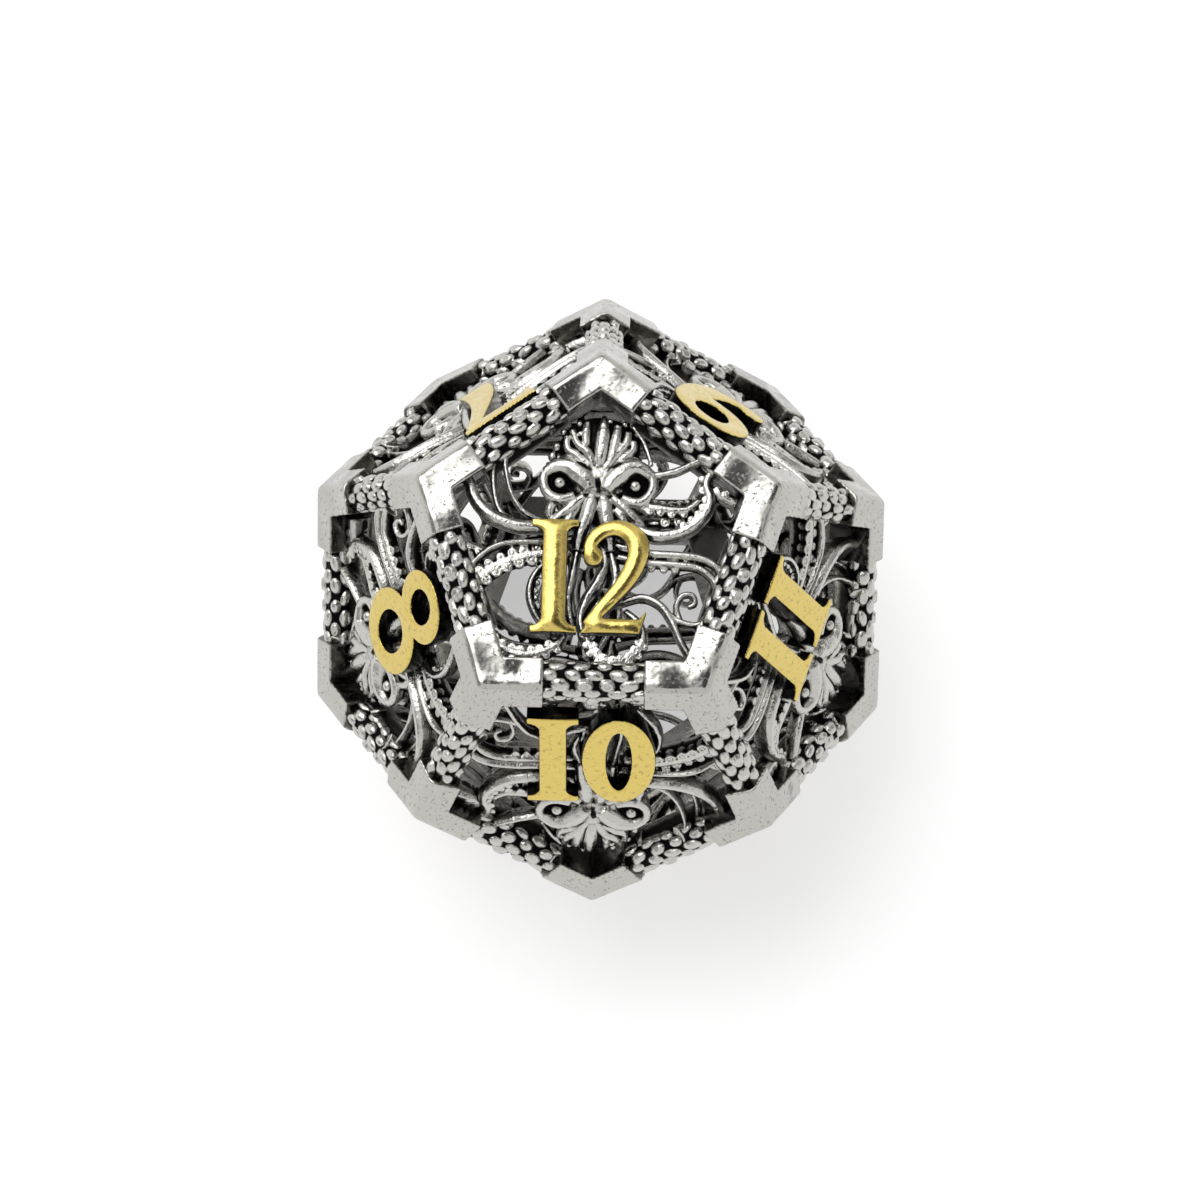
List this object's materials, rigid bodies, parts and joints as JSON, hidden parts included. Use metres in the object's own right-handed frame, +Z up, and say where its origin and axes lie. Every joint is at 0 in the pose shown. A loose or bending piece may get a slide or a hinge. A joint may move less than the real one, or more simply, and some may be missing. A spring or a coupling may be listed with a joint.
{
  "type": "twelve-sided die",
  "caption": "Hollow openwork twelve-sided metal die: polished corner caps, scaled bars between them, and on every face a sea creature's head and tentacles behind a gold numeral.",
  "frame": {"origin": "middle of the resting face 1, on the surface that the die stands on", "axes": "+Z up through face 12, +Y towards the corner that the crown on face 12 points at, face 10 towards -Y"},
  "size_m": [0.0258, 0.027, 0.022],
  "materials": {
    "polished_caps": "polished, with fine casting pits",
    "antique_silver": "antique silver plate, black in the hollows and rubbed bright on the high spots",
    "gold_numerals": "antique gold, satin"
  },
  "bodies": {
    "root": {"cap_top_1": "polished_caps", "cap_top_2": "polished_caps", "cap_top_3": "polished_caps", "cap_top_4": "polished_caps", "cap_top_5": "polished_caps", "cap_upper_1": "polished_caps", "cap_upper_2": "polished_caps", "cap_upper_3": "polished_caps", "cap_upper_4": "polished_caps", "cap_upper_5": "polished_caps", "cap_lower_1": "polished_caps", "cap_lower_2": "polished_caps", "cap_lower_3": "polished_caps", "cap_lower_4": "polished_caps", "cap_lower_5": "polished_caps", "cap_bottom_1": "polished_caps", "cap_bottom_2": "polished_caps", "cap_bottom_3": "polished_caps", "cap_bottom_4": "polished_caps", "cap_bottom_5": "polished_caps", "scaled_bars_top": "antique_silver", "scaled_bars_upper": "antique_silver", "scaled_bars_middle": "antique_silver", "scaled_bars_lower": "antique_silver", "scaled_bars_bottom": "antique_silver", "creature_1": "antique_silver", "creature_2": "antique_silver", "creature_3": "antique_silver", "creature_4": "antique_silver", "creature_5": "antique_silver", "creature_6": "antique_silver", "creature_7": "antique_silver", "creature_8": "antique_silver", "creature_9": "antique_silver", "creature_10": "antique_silver", "creature_11": "antique_silver", "creature_12": "antique_silver", "numeral_1": "gold_numerals", "numeral_2": "gold_numerals", "numeral_3": "gold_numerals", "numeral_4": "gold_numerals", "numeral_5": "gold_numerals", "numeral_6": "gold_numerals", "numeral_7": "gold_numerals", "numeral_8": "gold_numerals", "numeral_9": "gold_numerals", "numeral_10": "gold_numerals", "numeral_11": "gold_numerals", "numeral_12": "gold_numerals"}
  },
  "joints": []
}
